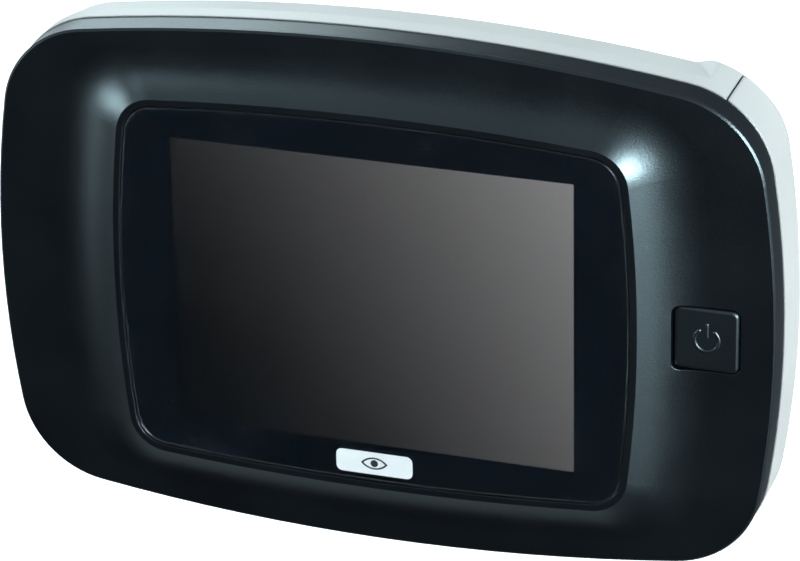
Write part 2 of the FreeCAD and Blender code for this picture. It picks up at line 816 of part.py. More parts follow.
def shoulder_slab(name, grow):
    """Everything to the right of the shoulder, whose upper and lower ends slope gently outward."""
    body = new_body(name)
    sketch = new_sketch(body, name + "_shape", "0 - cut_over")
    left = f"end_left - ( {grow} )"
    right = f"{left} + shoulder_length"
    near = f"shoulder_height + ( {grow} )"
    far = f"{near} + shoulder_length * shoulder_slope"
    corners = [(left, f"0 - ( {near} )"), (right, f"0 - ( {far} )"), (right, far), (left, near)]
    points = [Vector(number(x), number(z), 0) for x, z in corners]
    for index, start in enumerate(points):
        sketch.addGeometry(Part.LineSegment(start, points[(index + 1) % 4]), False)
    for index in range(4):
        sketch.addConstraint(Sketcher.Constraint("Coincident", index, 2, (index + 1) % 4, 1))
    for index, (x, z) in enumerate(corners):
        hold_point(sketch, index, 1, x, z, f"corner_{index}")
    pad(body, sketch, "seam_level + cut_over * 2")
    return body


def battery_hole():
    edge = "bay_left + door_gap"
    groove = "door_half_height + tongue_width + door_gap"
    opening = "door_half_height + door_side_gap"
    return [box("bay_hollow", ("bay_left", "0 - cut_over", "0 - bay_half_height"),
                ("bay_right", "bay_floor", "bay_half_height")),
            box("door_opening", (edge, "0 - cut_over", f"0 - ( {opening} )"),
                ("seam_x + door_run_out", "door_thickness + door_gap", opening)),
            box("door_groove", (edge, "tongue_level - door_side_gap", f"0 - ( {groove} )"),
                ("seam_x + door_run_out", "door_thickness + door_gap", groove))]


def housing_solids(outer, core):
    """The shell and what stands inside it, fused."""
    left = box("housing_side", ("0 - cut_reach", "0 - cut_over", "0 - cut_reach"),
               ("seam_x", "seam_level + cut_over", "cut_reach"))
    shell = cut("housing_shell", common("housing_outer", outer, left), core)
    side = "bay_half_height + bay_side"
    ceiling = "bay_floor + floor_thickness"
    solids = [shell,
              box("recess_pad",
                  ("0 - plate_half_width - recess_rim", "recess_back",
                   "0 - plate_half_height - lift - recess_end"),
                  ("plate_half_width + recess_rim", "recess_depth + recess_wall",
                   "plate_half_height + recess_end")),
              rod("well_tube", "well_radius + well_wall", "0", "0", "recess_depth", "well_floor + floor_thickness"),
              box("bay_walls", ("bay_left - bay_wall", "back_root", f"0 - ( {side} )"), ("seam_x", ceiling, side)),
              box("bay_end", ("seam_x - bay_joint", "back_wall + bay_end_gap", f"0 - ( {side} )"),
                  ("bay_right + floor_thickness", ceiling, side))]
    sole = outline_plate("sole_full", family("case", "0 - sole_inset"), "bay_floor", ceiling)
    sole_side = box("sole_side", ("bay_left - bay_wall", "0", "0 - cut_reach"),
                    ("cut_reach", "cut_reach", "cut_reach"))
    solids.append(common("sole", sole, sole_side))
    for index, (x, z) in enumerate(case_screws):
        solids.append(rod(f"post_{index}", "screw_radius + post_wall", x, z, "post_low", "seam_level + post_rise"))
    return fuse("housing_solids", solids)


def hook_places():
    """Name, x and z of each of the four hooks."""
    return [(f"{name}_{side + 1}", f"hook_x * {side}", z) for side in (-1, 1)
            for name, z in (("upper", "upper_hook_z"), ("lower", "lower_hook_z"))]


def rear_housing(outer, core):
    tools = battery_hole()
    tools.append(box("plate_recess",
                     ("0 - plate_half_width - plate_gap", "0 - cut_over",
                      "0 - plate_half_height - lift - plate_drop_gap"),
                     ("plate_half_width + plate_gap", "recess_depth", "plate_half_height + plate_gap")))
    tools.append(rod("well", "well_radius", "0", "0", "0 - cut_over", "well_floor"))
    wide, high = "socket_half_width + socket_clear", "socket_half_height + socket_clear"
    tools.append(box("socket_window", (f"0 - ( {wide} )", "0", f"0 - ( {high} )"), (wide, "cut_reach", high)))
    for index, (x, z) in enumerate(case_screws):
        tools.append(rod(f"screw_hole_{index}", "screw_radius + screw_hole_slack", x, z, "0", "cut_reach"))
        tools.append(rod(f"screw_well_{index}", "screw_radius + screw_well_wall", x, z, "0 - cut_over",
                         "screw_well_depth"))
    half = "hook_width / 2 + hook_slack"
    for name, x, z in hook_places():
        tools.append(box(f"slot_{name}", (f"{x} - ( {half} )", "0", f"{z} - lift - slot_room"),
                         (f"{x} + {half}", "slot_depth", f"{z} + hook_seat_gap")))
    return finish(cut("housing", housing_solids(outer, core), fuse("housing_tools", tools)), "rear_housing")


def battery_cover(outer, core):
    right = box("cover_side", ("seam_x + seam_gap", "0 - cut_over", "0 - cut_reach"),
                ("cut_reach", "seam_level - cover_gap", "cut_reach"))
    shell = cut("cover_shell", common("cover_outer", outer, right), core)
    edge = "bay_left + door_gap * 2"
    door = box("door", (edge, "0", "0 - door_half_height"),
               ("seam_x + door_root", "door_thickness", "door_half_height"))
    tongue = box("door_tongue", (edge, "tongue_level", "0 - door_half_height - tongue_width"),
                 ("seam_x + tongue_root", "door_thickness", "door_half_height + tongue_width"))
    grips = []
    for index in range(GRIP_COUNT):
        start = f"seam_x - grip_start + {index} * grip_pitch"
        grips.append(box(f"grip_{index}", (start, "0 - cut_over", "0 - grip_half_height"),
                         (f"{start} + grip_width", "grip_depth", "grip_half_height")))
    cover = cut("cover", fuse("cover_solids", [shell, door, tongue]), group("grips", grips))
    return finish(cover, "battery_cover")


# ---------------------------------------------------------------- batteries

def cell_x(index):
    return f"bay_left + cell_side_gap + cell_radius + cell_pitch * {index}"


def flat_side(index):
    """1 where a cell's flat end is up, -1 where it is down; the middle cell is turned over."""
    return 1 if index == 1 else -1


def standing(name, radius, x, start, end, upward):
    """Cylinder at the cells' level; start is the lower end when upward is true."""
    low, high = (start, end) if upward else (end, start)
    return upright(name, radius, x, "cell_level", low, high)


def cell(index):
    """Round cell with a raised contact at one end."""
    toward = -flat_side(index)
    tip = f"{toward} * ( bay_half_height - contact_room )"
    shoulder = f"{tip} - {toward} * stud_height"
    flat = f"{tip} - {toward} * cell_length"
    can = standing(f"cell_can_{index}", "cell_radius", cell_x(index), flat, shoulder, toward > 0)
    stud = standing(f"cell_stud_{index}", "stud_radius", cell_x(index), f"{shoulder} - {toward} * boss_root",
                    tip, toward > 0)
    return finish(fuse(f"cell_{index}", [can, stud]), f"battery_{index + 1}")


def spring(index):
    """The space taken by the coil that presses on the cell's flat end."""
    side = flat_side(index)
    wall = f"{side} * ( bay_half_height - spring_base )"
    end = f"{side} * ( bay_half_height - spring_room )"
    coil = standing(f"coil_space_{index}", "spring_radius", cell_x(index), end, wall, side > 0)
    inside = standing(f"coil_inside_{index}", "spring_radius - spring_wire", cell_x(index),
                      f"{end} - {side} * cut_over", f"{wall} + {side} * cut_over", side > 0)
    return cut(f"spring_{index}", coil, inside)


def contact_plate(index, side):
    x = cell_x(index)
    wall = f"{side} * ( bay_half_height - contact_inset )"
    return box(f"contact_{index}_{side + 1}",
               (f"{x} - contact_half_width", "cell_level - contact_half_width",
                f"{wall} - contact_half_thickness"),
               (f"{x} + contact_half_width", "bay_floor - contact_gap", f"{wall} + contact_half_thickness"))


def battery_parts():
    """The cells, the contact plates at both their ends, and a spring at each flat end."""
    plates = [contact_plate(index, side) for index in range(CELL_COUNT) for side in (-1, 1)]
    springs = [spring(index) for index in range(CELL_COUNT)]
    return [cell(index) for index in range(CELL_COUNT)] + [
        finish(group("contact_plates", plates), "battery_contacts"),
        finish(group("springs", springs), "battery_springs")]


# ---------------------------------------------------------------- fixings

def pan_screw(name, x, z, near, length, radius, head_radius, head_depth):
    """Screw put in from the door side: a pan head with a cross recess, and its shank."""
    head = rod(name + "_head", head_radius, x, z, near, f"{near} + {head_depth}")
    shank = rod(name + "_shank", radius, x, z, f"{near} + {head_depth} - head_overlap",
                f"{near} + {head_depth} + {length}")
    slots = []
    for index, (wide, high) in enumerate((("cross_half_width", "cross_half_length"),
                                          ("cross_half_length", "cross_half_width"))):
        slots.append(box(f"{name}_slot_{index}", (f"{x} - {wide}", f"{near} - cut_over", f"{z} - {high}"),
                         (f"{x} + {wide}", f"{near} + {head_depth} * cross_share", f"{z} + {high}")))
    return cut(name, fuse(name + "_blank", [head, shank]), fuse(name + "_cross", slots))


def fixings():
    case = [pan_screw(f"case_screw_{index}", x, z, "case_head_level", "case_shank", "screw_radius",
                      "screw_radius + case_head_wall", "case_head_depth")
            for index, (x, z) in enumerate(case_screws)]
    near = "board_front - board_thickness - board_head_depth - solder_gap"
    board = [pan_screw(f"board_screw_{index}", x, z, near, "board_shank", "small_screw_radius",
                       "board_head_radius", "board_head_depth")
             for index, (x, z) in enumerate(board_screws)]
    near = "switch_board_front - switch_board_thickness - switch_head_depth - solder_gap"
    switch = [pan_screw(f"switch_screw_{index}", x, z, near, "switch_shank", "small_screw_radius",
                        "switch_head_radius", "switch_head_depth")
              for index, (x, z) in enumerate(switch_screws)]
    return [finish(group("case_screw_set", case), "housing_screws"),
            finish(group("board_screw_set", board), "board_screws"),
            finish(group("switch_screw_set", switch), "button_board_screws")]


# ---------------------------------------------------------------- door plate

def door_plate():
    body = rounded_plate("plate_sheet", "0", "0", "plate_half_width * 2", "plate_half_height * 2",
                         "plate_corner", "0", "plate_thickness")
    holes = new_sketch(body, "plate_holes", "plate_thickness")
    add_circle(holes, "0", "0", "barrel_radius", "barrel")
    add_circle(holes, "0", "plate_half_height - plate_screw_inset", "plate_screw_radius", "upper")
    add_circle(holes, "0", "plate_screw_inset - plate_half_height", "plate_screw_radius", "lower")
    pocket(body, holes, "plate_thickness + cut_over")
    solids = [body]
    near = "recess_depth + recess_wall + hook_gap"
    for name, x, z in hook_places():
        left, right = f"{x} - hook_width / 2", f"{x} + hook_width / 2"
        solids.append(box(f"stem_{name}", (left, "plate_thickness - stem_root", f"{z} - hook_thickness"),
                          (right, f"{near} + hook_thickness", z)))
        solids.append(box(f"hook_{name}", (left, near, f"{z} - hook_thickness"),
                          (right, f"{near} + hook_thickness", f"{z} + hook_length")))
    return finish(fuse("plate", solids), "door_plate")


# ---------------------------------------------------------------- assembly

outer = block("block", "housing_step", "0", "tail_fillet", "end_fillet")
core = block("core", "housing_step - housing_wall", "back_wall", None, "end_fillet - housing_wall")
parts = [front_frame(), rear_housing(outer, core), battery_cover(outer, core), power_button(), door_plate()]
parts += display() + boards() + switch_parts() + battery_parts() + fixings()
doc.recompute()

for item in doc.Objects:
    if "Invalid" in item.State or "Error" in item.State:
        raise RuntimeError(f"{item.Name} failed: {item.State}")
os.makedirs("parts", exist_ok=True)
for part in parts:
    shape = part.Shape
    if shape.isNull() or not shape.isValid():
        raise RuntimeError(part.Label + " has no valid shape")
    shape.exportStep(f"parts/{part.Label}.step")
    print(f"{part.Label:22s} {len(shape.Solids)} solid(s) {shape.Volume:10.1f} mm3")
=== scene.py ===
import json
import math

import bmesh
import bpy
from mathutils import Matrix, Vector


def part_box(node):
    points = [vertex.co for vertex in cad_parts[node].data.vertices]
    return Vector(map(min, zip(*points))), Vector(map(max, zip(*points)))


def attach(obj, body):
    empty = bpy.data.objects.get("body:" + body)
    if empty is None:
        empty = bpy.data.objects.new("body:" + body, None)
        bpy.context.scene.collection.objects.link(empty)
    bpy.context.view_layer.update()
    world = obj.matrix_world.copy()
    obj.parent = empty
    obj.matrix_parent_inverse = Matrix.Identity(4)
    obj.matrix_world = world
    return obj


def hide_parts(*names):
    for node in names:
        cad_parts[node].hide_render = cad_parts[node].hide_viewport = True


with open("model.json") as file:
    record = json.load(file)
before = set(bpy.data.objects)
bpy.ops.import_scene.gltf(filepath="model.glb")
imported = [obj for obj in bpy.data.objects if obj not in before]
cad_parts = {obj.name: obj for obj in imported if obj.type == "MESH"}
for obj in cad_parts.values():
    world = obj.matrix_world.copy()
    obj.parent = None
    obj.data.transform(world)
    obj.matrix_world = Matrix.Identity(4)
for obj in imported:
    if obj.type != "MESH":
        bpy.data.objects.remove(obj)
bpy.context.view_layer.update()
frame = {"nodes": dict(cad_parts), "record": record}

mm = 0.001
tiny = 1e-9  # keeps a division away from zero
print("frame loaded:", len(frame["nodes"]), "nodes")


# camera: looking down at the front from the upper right

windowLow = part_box("display_window")[0]
# turn, rise and roll are in degrees, near and far in metres, the rest in millimetres
view = {"turn": 18.924, "rise": 25.343, "roll": -1.1425, "distance": 671.51, "lens": 195.98,
        "right": 4.202, "up": 3.562, "screenDepth": 1.0, "sensor": 36, "near": 0.05, "far": 20}


def addCamera():
    turn, rise, roll = (math.radians(view[key]) for key in ("turn", "rise", "roll"))
    flat = math.cos(rise)
    ahead = Vector((-math.sin(turn) * flat, math.cos(turn) * flat, -math.sin(rise)))
    level = ahead.cross(Vector((0, 0, 1))).normalized()
    top = level.cross(ahead)
    side = level * math.cos(roll) + top * math.sin(roll)
    up = top * math.cos(roll) - level * math.sin(roll)
    data = bpy.data.cameras.new("camera")
    data.lens = view["lens"]
    data.sensor_width = view["sensor"]
    data.sensor_fit = "HORIZONTAL"
    data.clip_start = view["near"]
    data.clip_end = view["far"]
    camera = bpy.data.objects.new("camera", data)
    bpy.context.scene.collection.objects.link(camera)
    target = Vector((0, windowLow.y + view["screenDepth"] * mm, 0))
    away = side * view["right"] + up * view["up"] - ahead * view["distance"]
    turned = Matrix((side, up, -ahead)).transposed().to_4x4()
    camera.matrix_world = Matrix.Translation(target + away * mm) @ turned
    bpy.context.scene.camera = camera


addCamera()


# material building blocks

# Principled material; sockets are given by their own names
def newMaterial(name, **sockets):
    material = bpy.data.materials.new(name)
    material.use_nodes = True
    shader = material.node_tree.nodes["Principled BSDF"]
    for label, value in sockets.items():
        shader.inputs[label].default_value = value
    return material


def addNode(tree, kind, inputs=None, **options):
    node = tree.nodes.new("ShaderNode" + kind)
    for key, value in options.items():
        setattr(node, key, value)
    for socket, value in (inputs or {}).items():
        if isinstance(value, bpy.types.NodeSocket):
            tree.links.new(value, node.inputs[socket])
        else:
            node.inputs[socket].default_value = value
    return node


def wire(tree, source, label):
    tree.links.new(source, tree.nodes["Principled BSDF"].inputs[label])


# place on the piece, in metres, stretched for brushed or grained finishes
def position(tree, stretch=(1, 1, 1), turn=(0, 0, 0)):
    place = addNode(tree, "TexCoord").outputs["Object"]
    inputs = {"Vector": place, "Scale": stretch, "Rotation": turn}
    return addNode(tree, "Mapping", inputs).outputs["Vector"]


# noise whose blobs are about size millimetres across; most of it lies between 0.3 and 0.7
def noise(tree, place, size, detail=2.0, roughness=0.5):
    inputs = {"Vector": place, "Scale": 1 / (size * mm), "Detail": detail, "Roughness": roughness}
    return addNode(tree, "TexNoise", inputs).outputs["Fac"]


# stretch a value between start and end onto low to high
def spread(tree, value, low, high, start=0.3, end=0.7):
    inputs = {"Value": value, "From Min": start, "From Max": end, "To Min": low, "To Max": high}
    return addNode(tree, "MapRange", inputs).outputs["Result"]


def blendColors(tree, share, first, second):
    mix = addNode(tree, "Mix", data_type="RGBA")
    colorSockets = [item for item in mix.inputs if item.type == "RGBA"]
    for socket, value in zip(colorSockets, (first, second)):
        if isinstance(value, bpy.types.NodeSocket):
            tree.links.new(value, socket)
        else:
            socket.default_value = (*value, 1)
    tree.links.new(share, mix.inputs[0])
    return [item for item in mix.outputs if item.type == "RGBA"][0]


def roundedEdges(tree, radius):
    return addNode(tree, "Bevel", {"Radius": radius * mm}, samples=6).outputs["Normal"]


# one on the piece's edges and nothing on its faces
def edgeMask(tree, rounded, low=0.02, high=0.25):
    flat = addNode(tree, "NewGeometry").outputs["Normal"]
    inputs = {0: rounded, 1: flat}
    facing = addNode(tree, "VectorMath", inputs, operation="DOT_PRODUCT").outputs["Value"]
    away = addNode(tree, "Math", {0: 1.0, 1: facing}, operation="SUBTRACT").outputs[0]
    return spread(tree, away, 0.0, 1.0, low, high)


# surface relief; depth in millimetres
def bump(tree, height, strength, depth, normal=None):
    inputs = {"Height": height, "Strength": strength, "Distance": depth * mm}
    if normal is not None:
        inputs["Normal"] = normal
    return addNode(tree, "Bump", inputs).outputs["Normal"]


# moulded plastic: fine spark-eroded grain, patchy gloss and edges rubbed smooth
def mouldedPlastic(name, look):
    tint = look.get("tint", (1, 1, 1))
    material = newMaterial(name, **{"IOR": 1.5, "Specular Tint": (*tint, 1)})
    tree = material.node_tree
    place = position(tree)
    grain = noise(tree, place, look["grain"], detail=3.0, roughness=0.6)
    patches = noise(tree, place, look.get("patch", 14), detail=4.0)
    rounded = roundedEdges(tree, look["edge"])
    edges = edgeMask(tree, rounded)
    tone = blendColors(tree, spread(tree, patches, 0, 1), look["color"], look["second"])
    tone = blendColors(tree, edges, tone, look["worn"])
    if "creviceShade" in look:  # painted shade: joints and gaps darkened by how hidden they are from light
        hidden = addNode(tree, "AmbientOcclusion", {"Distance": look["creviceDepth"] * mm}, samples=4)
        share = spread(tree, hidden.outputs["AO"], 1, 0, *look["creviceRange"])
        tone = blendColors(tree, share, tone, look["creviceShade"])
    wire(tree, tone, "Base Color")
    low, high = look["roughness"]
    gloss = spread(tree, patches, low, high)
    speckle = spread(tree, grain, -look["speckle"], look["speckle"])
    rough = addNode(tree, "Math", {0: gloss, 1: speckle}, operation="ADD").outputs[0]
    wire(tree, rough, "Roughness")
    wire(tree, bump(tree, grain, look["relief"], look["depth"], rounded), "Normal")
    return material


metalPatch = 9  # millimetres


# sheet or turned metal with fine brush lines along X and a few dull patches
def brushedMetal(name, look):
    material = newMaterial(name, **{"Metallic": 1.0, "Anisotropic": look.get("anisotropic", 0.0)})
    tree = material.node_tree
    stretched = position(tree, look.get("stretch", (0.02, 1, 1)))
    lines = noise(tree, stretched, look["grain"], detail=3.0, roughness=0.7)
    patches = noise(tree, position(tree), metalPatch, detail=4.0)
    rounded = roundedEdges(tree, look["edge"])
    tone = blendColors(tree, spread(tree, patches, 0, 1), look["color"], look["second"])
    wire(tree, blendColors(tree, edgeMask(tree, rounded), tone, look["worn"]), "Base Color")
    low, high = look["roughness"]
    wire(tree, spread(tree, lines, low, high), "Roughness")
    wire(tree, bump(tree, lines, look["relief"], look["depth"], rounded), "Normal")
    return material


# plastics of the case; grain, depth, edge, patch and creviceDepth are in millimetres

blackCase = {"color": (0.0014, 0.0015, 0.0042), "second": (0.0022, 0.0025, 0.0052),
             "worn": (0.012, 0.015, 0.019), "roughness": (0.29, 0.33), "speckle": 0.02, "grain": 0.26,
             "relief": 0.6, "depth": 0.03, "edge": 0.16, "patch": 18, "tint": (0.80, 0.95, 1.0)}
# the silver's crevice colour is painted shade, laid into its joints and gaps by ambient occlusion
silverCase = {"color": (0.56, 0.52, 0.505), "second": (0.59, 0.55, 0.535), "worn": (0.68, 0.64, 0.62),
              "roughness": (0.38, 0.46), "speckle": 0.03, "grain": 0.22, "relief": 0.10, "depth": 0.02,
              "edge": 0.9, "patch": 20, "creviceShade": (0.008, 0.012, 0.018), "creviceDepth": 1.2,
              "creviceRange": (0.3, 0.6)}
buttonCase = dict(blackCase, roughness=(0.33, 0.38), edge=0.08, grain=0.2)

materials = {
    "black_plastic": mouldedPlastic("blackPlastic", blackCase),
    "silver_plastic": mouldedPlastic("silverPlastic", silverCase),
    "button_plastic": mouldedPlastic("buttonPlastic", buttonCase),
}


# finishes of the inner parts and fixings

smallPlastics = {
    "chip_black": {"color": (0.018, 0.018, 0.020), "second": (0.028, 0.028, 0.030),
                   "worn": (0.06, 0.06, 0.06), "roughness": (0.5, 0.62), "speckle": 0.06,
                   "grain": 0.09, "relief": 0.3, "depth": 0.02, "edge": 0.08},
    "connector_white": {"color": (0.74, 0.70, 0.60), "second": (0.80, 0.77, 0.69),
                        "worn": (0.88, 0.86, 0.80), "roughness": (0.35, 0.5), "speckle": 0.03,
                        "grain": 0.15, "relief": 0.1, "depth": 0.01, "edge": 0.1},
    "switch_black": {"color": (0.02, 0.02, 0.021), "second": (0.03, 0.03, 0.03),
                     "worn": (0.08, 0.08, 0.08), "roughness": (0.4, 0.5), "speckle": 0.04,
                     "grain": 0.1, "relief": 0.2, "depth": 0.01, "edge": 0.06},
    "wire_red": {"color": (0.42, 0.02, 0.018), "second": (0.52, 0.035, 0.03),
                 "worn": (0.6, 0.1, 0.09), "roughness": (0.28, 0.4), "speckle": 0.03,
                 "grain": 0.2, "relief": 0.1, "depth": 0.01, "edge": 0.1},
    "foam": {"color": (0.018, 0.018, 0.019), "second": (0.04, 0.04, 0.042),
             "worn": (0.05, 0.05, 0.05), "roughness": (0.85, 0.95), "speckle": 0.05,
             "grain": 0.18, "relief": 0.9, "depth": 0.08, "edge": 0.05},
    "tape": {"color": (0.05, 0.05, 0.055), "second": (0.08, 0.08, 0.085),
             "worn": (0.12, 0.12, 0.12), "roughness": (0.5, 0.7), "speckle": 0.05,
             "grain": 0.3, "relief": 0.3, "depth": 0.02, "edge": 0.02},
}
smallMetals = {
    "pressed_steel": {"color": (0.55, 0.56, 0.57), "second": (0.66, 0.67, 0.68), "worn": (0.8, 0.8, 0.8),
                      "roughness": (0.24, 0.4), "grain": 0.15, "relief": 0.15, "depth": 0.01, "edge": 0.12},
    "can_aluminium": {"color": (0.72, 0.72, 0.73), "second": (0.82, 0.82, 0.82), "worn": (0.9, 0.9, 0.9),
                      "roughness": (0.22, 0.36), "grain": 0.12, "relief": 0.2, "depth": 0.01, "edge": 0.15},
    "spring_steel": {"color": (0.62, 0.61, 0.58), "second": (0.76, 0.75, 0.72), "worn": (0.9, 0.9, 0.88),
                     "roughness": (0.16, 0.3), "grain": 0.2, "relief": 0.1, "depth": 0.01, "edge": 0.06},
    "screw_steel": {"color": (0.42, 0.43, 0.44), "second": (0.58, 0.58, 0.57), "worn": (0.75, 0.75, 0.74),
                    "roughness": (0.25, 0.42), "grain": 0.2, "relief": 0.2, "depth": 0.02, "edge": 0.12,
                    "stretch": (1, 1, 1)},
    "plate_steel": {"color": (0.50, 0.51, 0.52), "second": (0.60, 0.61, 0.62), "worn": (0.78, 0.78, 0.78),
                    "roughness": (0.26, 0.46), "grain": 0.16, "relief": 0.35, "depth": 0.02, "edge": 0.2,
                    "stretch": (0.015, 1, 1), "anisotropic": 0.4},
}
for slotName, look in smallPlastics.items():
    materials[slotName] = mouldedPlastic(slotName.replace("_", "") + "Finish", look)
for slotName, look in smallMetals.items():
    materials[slotName] = brushedMetal(slotName.replace("_", "") + "Finish", look)


circuitBoard = {"mask": (0.008, 0.085, 0.035), "copper": (0.016, 0.15, 0.06), "paler": 1.3,
                "track": 1.1, "trackWidth": 0.035, "trackLength": 6.0, "line": 0.35, "patch": 6,
                "roughness": (0.28, 0.4), "relief": 0.5, "depth": 0.03, "edge": 0.1}


# green solder mask over slanting copper tracks
def solderMask(name, look):
    material = newMaterial(name, **{"Coat Weight": 0.3, "Coat Roughness": 0.15})
    tree = material.node_tree
    place = position(tree, turn=(math.pi / 2, math.pi / 4, 0))
    size = {"Vector": place, "Scale": 1 / (look["track"] * mm), "Mortar Size": look["trackWidth"],
            "Brick Width": look["trackLength"], "Row Height": look["line"],
            "Color1": (0, 0, 0, 1), "Color2": (0, 0, 0, 1), "Mortar": (1, 1, 1, 1)}
    tracks = addNode(tree, "TexBrick", size).outputs["Color"]
    pale = noise(tree, position(tree), look["patch"], detail=3.0)
    lighter = tuple(look["paler"] * part for part in look["mask"])
    ground = blendColors(tree, spread(tree, pale, 0, 1), look["mask"], lighter)
    wire(tree, blendColors(tree, tracks, ground, look["copper"]), "Base Color")
    low, high = look["roughness"]
    wire(tree, spread(tree, pale, low, high), "Roughness")
    rounded = roundedEdges(tree, look["edge"])
    wire(tree, bump(tree, tracks, look["relief"], look["depth"], rounded), "Normal")
    return material


# a wave texture of scale one repeats every 0.31 metres, which is its waveStep
ribbonFilm = {"film": (0.46, 0.20, 0.035), "copper": (0.70, 0.36, 0.12), "pitch": 0.5, "waveStep": 0.31,
              "lineEdges": (0.4, 0.6), "patch": 1.5, "roughness": (0.22, 0.34), "relief": 0.4,
              "depth": 0.02}


# amber film with parallel copper lines under it
def flexFilm(name, look):
    material = newMaterial(name, **{"Coat Weight": 0.5, "Coat Roughness": 0.1})
    tree = material.node_tree
    waves = {"Vector": position(tree), "Scale": look["waveStep"] / (look["pitch"] * mm)}
    lines = addNode(tree, "TexWave", waves, bands_direction="Z").outputs["Fac"]
    tracks = spread(tree, lines, 0, 1, *look["lineEdges"])
    wire(tree, blendColors(tree, tracks, look["film"], look["copper"]), "Base Color")
    low, high = look["roughness"]
    wire(tree, spread(tree, noise(tree, position(tree), look["patch"]), low, high), "Roughness")
    wire(tree, bump(tree, tracks, look["relief"], look["depth"]), "Normal")
    return material


materials["board_green"] = solderMask("solderMask", circuitBoard)
materials["flex_amber"] = flexFilm("flexFilm", ribbonFilm)

for item in frame["record"]["subparts"]:
    node = frame["nodes"][item["node"]]
    if item["material_slot"] in materials:
        node.data.materials[0] = materials[item["material_slot"]]
print("materials ready:", len(materials))


# mesh building blocks

weldGap = 1e-7  # metres


# tidy a bmesh, make it an object and hang it on its body
def finishPiece(name, mesh, body, material, sharpAngle=35):
    bmesh.ops.remove_doubles(mesh, verts=mesh.verts, dist=weldGap)
    bmesh.ops.recalc_face_normals(mesh, faces=mesh.faces)
    for face in mesh.faces:
        face.smooth = len(face.verts) <= 4  # the flat ends stay flat
    for edge in mesh.edges:
        edge.smooth = edge.calc_face_angle(0) < math.radians(sharpAngle)
    data = bpy.data.meshes.new(name)
    mesh.to_mesh(data)
    mesh.free()
    piece = bpy.data.objects.new(name, data)
    bpy.context.scene.collection.objects.link(piece)
    data.materials.append(material)
    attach(piece, body)
    return piece


# skin a row of closed rings that all have the same number of points
def stackRings(mesh, rings, closeStart=True, closeEnd=True):
    rows = [[mesh.verts.new(point) for point in ring] for ring in rings]
    count = len(rows[0])
    for near, far in zip(rows, rows[1:]):
        for index in range(count):
            after = (index + 1) % count
            mesh.faces.new((near[index], near[after], far[after], far[index]))
    if closeStart:
        mesh.faces.new(list(reversed(rows[0])))
    if closeEnd:
        mesh.faces.new(rows[-1])
    return rows


# points of an outline, in millimetres, on the plane that far in front of the door
def atLevel(points, level):
    return [Vector((x, -level, z)) * mm for x, z in points]


# flat ring between two outlines with the same number of points
def addBand(mesh, outer, inner, near, far):
    rings = [atLevel(inner, near), atLevel(outer, near), atLevel(outer, far), atLevel(inner, far)]
    rows = stackRings(mesh, rings, False, False)
    count = len(outer)
    for index in range(count):
        after = (index + 1) % count
        mesh.faces.new((rows[3][index], rows[3][after], rows[0][after], rows[0][index]))


def arcPoints(centreX, centreZ, radius, start, end, steps):
    turns = [start + (end - start) * step / steps for step in range(steps)]
    return [(centreX + radius * math.cos(turn), centreZ + radius * math.sin(turn)) for turn in turns]


# outline of four long arcs and four corners, moved outward by grow
def bowedOutline(shape, grow=0.0, steps=16):
    keys = ("halfWidth", "halfHeight", "top", "side", "corner")
    halfWidth, halfHeight, top, side, corner = (shape[key] + grow for key in keys)
    low = Vector((0, halfHeight - top))
    left = Vector((halfWidth - side, 0))
    span = left - low
    along = ((top - corner) ** 2 - (side - corner) ** 2 + span.length ** 2) / (2 * span.length)
    across = math.sqrt((top - corner) ** 2 - along ** 2)
    unit = span.normalized()
    normal = Vector((-unit.y, unit.x))
    centre = max((low + unit * along + normal * (across * sign) for sign in (1, -1)), key=min)
    sideTurn = math.atan2(centre.y, centre.x - left.x)
    topTurn = math.atan2(centre.y - low.y, centre.x)
    pi = math.pi
    points = arcPoints(left.x, 0, side, -sideTurn, sideTurn, steps)
    points += arcPoints(centre.x, centre.y, corner, sideTurn, topTurn, steps)
    points += arcPoints(0, low.y, top, topTurn, pi - topTurn, steps * 2)
    points += arcPoints(-centre.x, centre.y, corner, pi - topTurn, pi - sideTurn, steps)
    points += arcPoints(-left.x, 0, side, pi - sideTurn, pi + sideTurn, steps)
    points += arcPoints(-centre.x, -centre.y, corner, pi + sideTurn, pi + topTurn, steps)
    points += arcPoints(0, -low.y, top, pi + topTurn, 2 * pi - topTurn, steps * 2)
    points += arcPoints(centre.x, -centre.y, corner, 2 * pi - topTurn, 2 * pi - sideTurn, steps)
    return points


def roundedRect(centreX, centreZ, width, height, corner, steps=8):
    points = []
    for quarter, (signX, signZ) in enumerate(((1, 1), (-1, 1), (-1, -1), (1, -1))):
        x = centreX + signX * (width / 2 - corner)
        z = centreZ + signZ * (height / 2 - corner)
        start = quarter * math.pi / 2
        end = start + math.pi / 2
        points += arcPoints(x, z, corner, start, end, steps)
        points.append((x + corner * math.cos(end), z + corner * math.sin(end)))
    return points


# inset and drop of each ring of a rounded edge, from the side up to the face
def roundedRim(radius, steps):
    turns = [math.pi / 2 * step / steps for step in range(steps + 1)]
    return [(radius * (1 - math.cos(turn)), radius * (1 - math.sin(turn))) for turn in turns]


# turn a profile of (radius, height along Z), in metres, round an upright axis
def lathe(mesh, centreX, centreY, profile, steps):
    rings = []
    for radius, height in profile:
        circle = arcPoints(centreX, centreY, radius, 0, 2 * math.pi, steps)
        rings.append([Vector((x, y, height)) for x, y in circle])
    stackRings(mesh, rings)


# display window: a clear plate over a printed border

